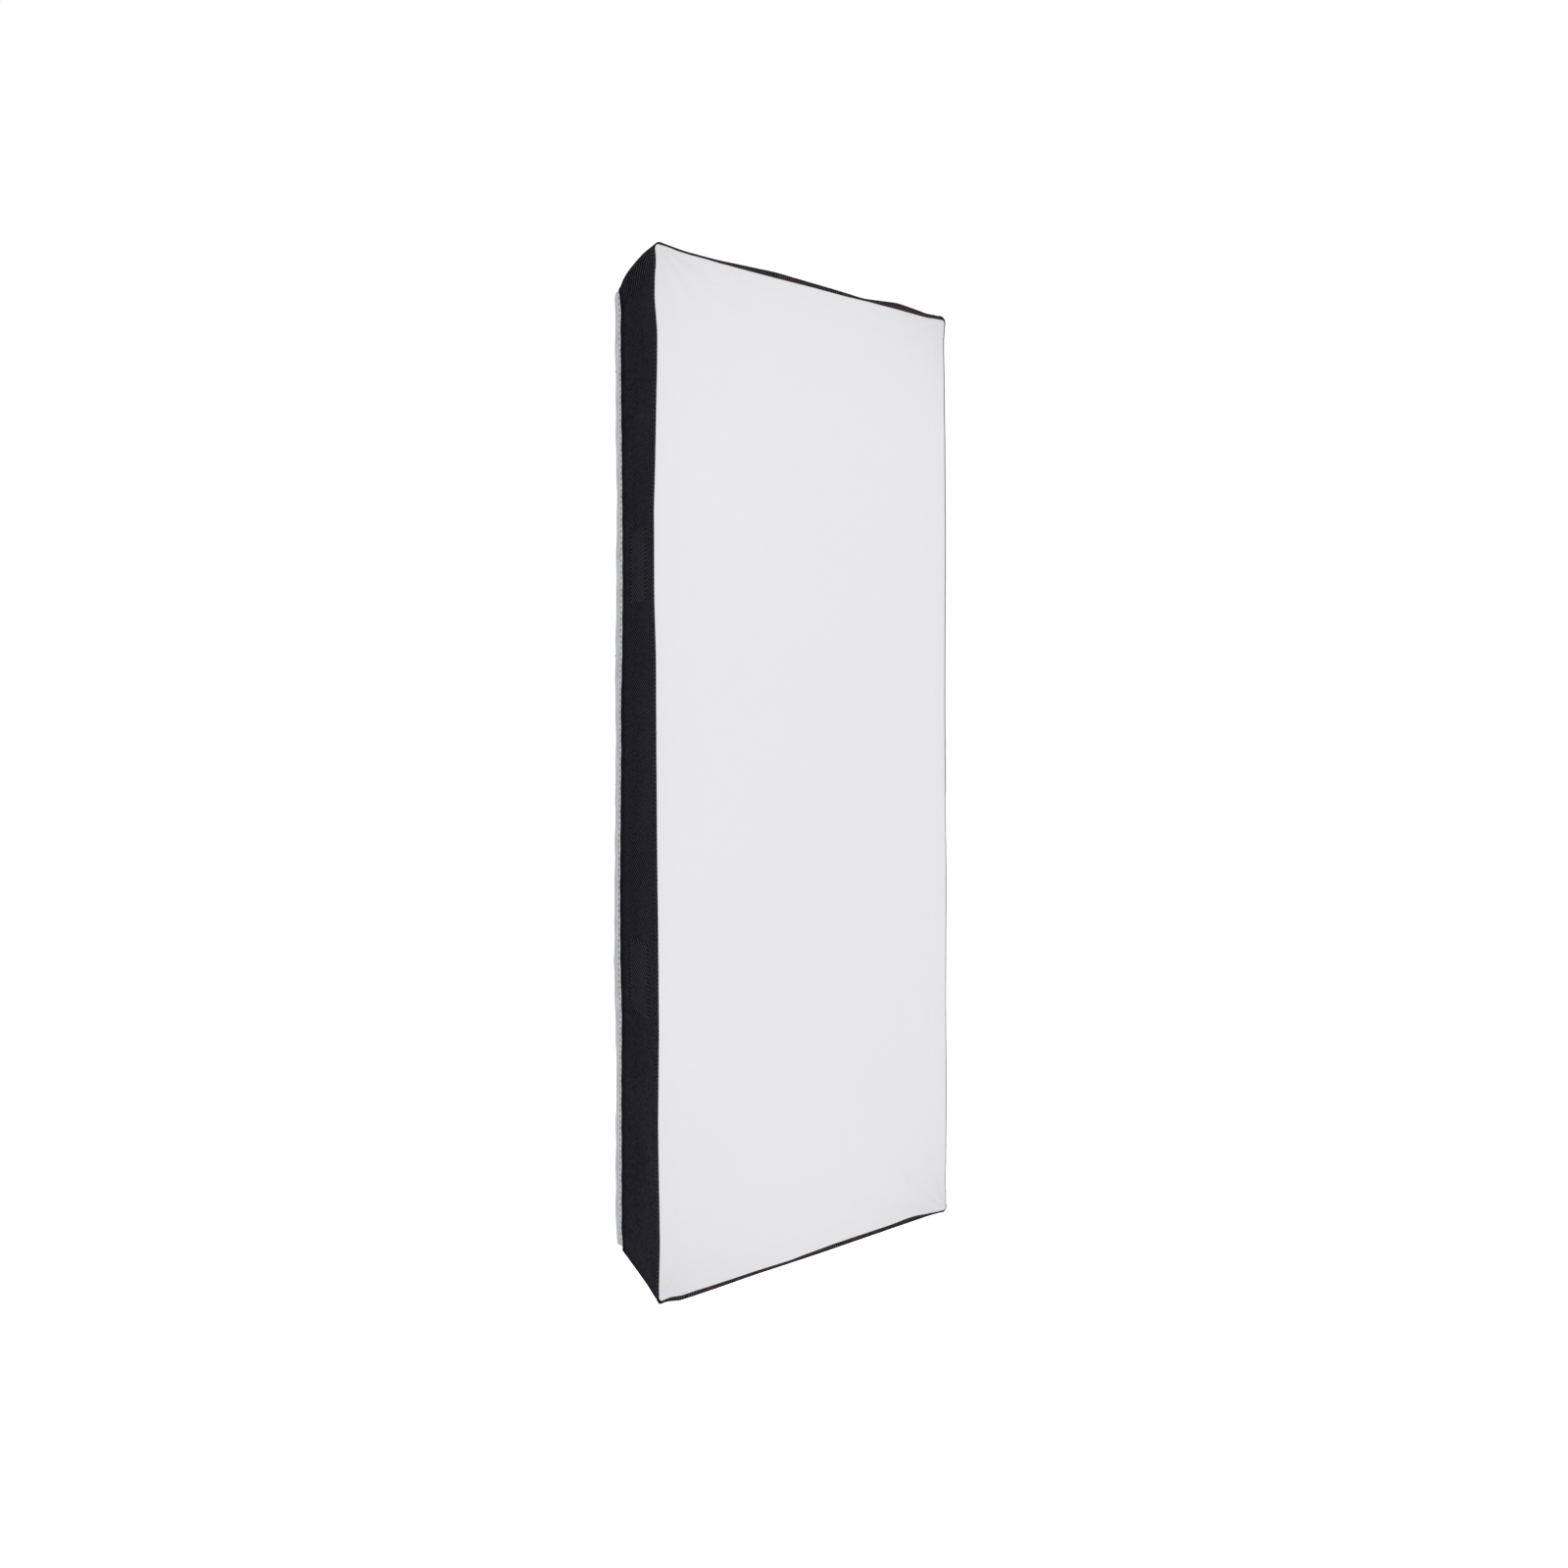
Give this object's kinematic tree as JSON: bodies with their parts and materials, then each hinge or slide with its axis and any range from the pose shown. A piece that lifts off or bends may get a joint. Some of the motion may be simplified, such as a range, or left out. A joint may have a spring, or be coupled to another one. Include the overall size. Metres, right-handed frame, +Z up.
{
  "type": "strip softbox",
  "caption": "Shallow upright strip softbox: black cloth walls, white front diffuser, rear loop-tape band, X-shaped arm frame and tilting stand bracket.",
  "frame": {"origin": "centre of the stand socket's mouth, on the socket's axis", "axes": "+X to the right seen from behind the light's back, +Y to the back (light leaves towards -Y), +Z up along the long side"},
  "size_m": [0.3, 0.2345, 0.9],
  "materials": {
    "black_cloth": "matt woven polyester",
    "silver_lining": "silver-coated cloth",
    "grey_loop_tape": "light-grey napped loop tape",
    "black_loop_tape": "black napped loop tape",
    "white_tape": "white hook tape",
    "white_diffusion_cloth": "white translucent diffusion cloth",
    "black_webbing": "black woven webbing",
    "glass_fibre_rod": "ground glass-fibre rod",
    "black_plastic": "moulded, fine grain",
    "black_tube": "black anodised",
    "black_casting": "black powder coat on a die casting",
    "nickel_steel": "nickel plated",
    "friction_washer": "fibre friction washer",
    "brass_pad": "turned brass"
  },
  "bodies": {
    "stand_mount": {"stand_bracket": "black_casting", "tilt_bolt": "nickel_steel", "tilt_washers": "friction_washer"},
    "softbox_head": {"wall_left": "black_cloth", "lining_left": "silver_lining", "rear_loop_tape_left": "grey_loop_tape", "front_flange_left": "black_cloth", "wall_right": "black_cloth", "lining_right": "silver_lining", "rear_loop_tape_right": "grey_loop_tape", "front_flange_right": "black_cloth", "wall_top": "black_cloth", "lining_top": "silver_lining", "rear_loop_tape_top": "grey_loop_tape", "front_flange_top": "black_cloth", "wall_bottom": "black_cloth", "lining_bottom": "silver_lining", "rear_loop_tape_bottom": "grey_loop_tape", "front_flange_bottom": "black_cloth", "front_pocket_upper_left": "black_webbing", "corner_post_upper_left": "glass_fibre_rod", "rear_gusset_upper_left": "black_webbing", "corner_elbow_upper_left": "black_plastic", "frame_arm_upper_left": "black_tube", "baffle_tab_upper_left": "white_tape", "front_pocket_upper_right": "black_webbing", "corner_post_upper_right": "glass_fibre_rod", "rear_gusset_upper_right": "black_webbing", "corner_elbow_upper_right": "black_plastic", "frame_arm_upper_right": "black_tube", "baffle_tab_upper_right": "white_tape", "front_pocket_lower_left": "black_webbing", "corner_post_lower_left": "glass_fibre_rod", "rear_gusset_lower_left": "black_webbing", "corner_elbow_lower_left": "black_plastic", "frame_arm_lower_left": "black_tube", "baffle_tab_lower_left": "white_tape", "front_pocket_lower_right": "black_webbing", "corner_post_lower_right": "glass_fibre_rod", "rear_gusset_lower_right": "black_webbing", "corner_elbow_lower_right": "black_plastic", "frame_arm_lower_right": "black_tube", "baffle_tab_lower_right": "white_tape", "front_hem": "black_cloth", "front_loop_tape": "black_loop_tape", "gusset_eyelets": "nickel_steel", "baffle_patches": "grey_loop_tape", "inner_baffle": "white_diffusion_cloth", "hub_body": "black_casting", "hub_cover": "black_plastic", "hub_screws": "nickel_steel", "tilt_tongue": "black_casting", "tongue_screws": "nickel_steel"},
    "diffuser": {"front_diffuser": "white_diffusion_cloth", "diffuser_hook_tape": "white_tape"},
    "clamp_lever": {"tilt_lever": "black_plastic", "lever_screw": "nickel_steel"},
    "lock_pad": {"lock_pad": "brass_pad"},
    "lock_knob": {"lock_screw": "nickel_steel", "lock_knob": "black_plastic"}
  },
  "joints": [
    {"name": "tilt", "type": "hinge", "parent": "stand_mount", "child": "softbox_head", "pos_m": [0, 0, 0.092], "axis": [1, 0, 0], "range_deg": [-75, 40]},
    {"name": "clamp_lever_turn", "type": "hinge", "parent": "stand_mount", "child": "clamp_lever", "pos_m": [0, 0, 0.092], "axis": [1, 0, 0], "range_deg": [0, 100]},
    {"name": "lock_pad_travel", "type": "slide", "parent": "stand_mount", "child": "lock_pad", "axis": [0, -1, 0], "range_m": [0, 0.00375]},
    {"name": "lock_knob_turn", "type": "hinge", "parent": "lock_pad", "child": "lock_knob", "pos_m": [0, 0.03, 0.025], "axis": [0, -1, 0], "range_deg": [0, 1080]},
    {"name": "diffuser_peel", "type": "slide", "parent": "softbox_head", "child": "diffuser", "axis": [0, -1, 0], "range_m": [0, 0.06]}
  ],
  "couplings": [
    {"joint": "lock_knob_turn", "follows": "lock_pad_travel", "rad_per_m": 5026.5}
  ]
}
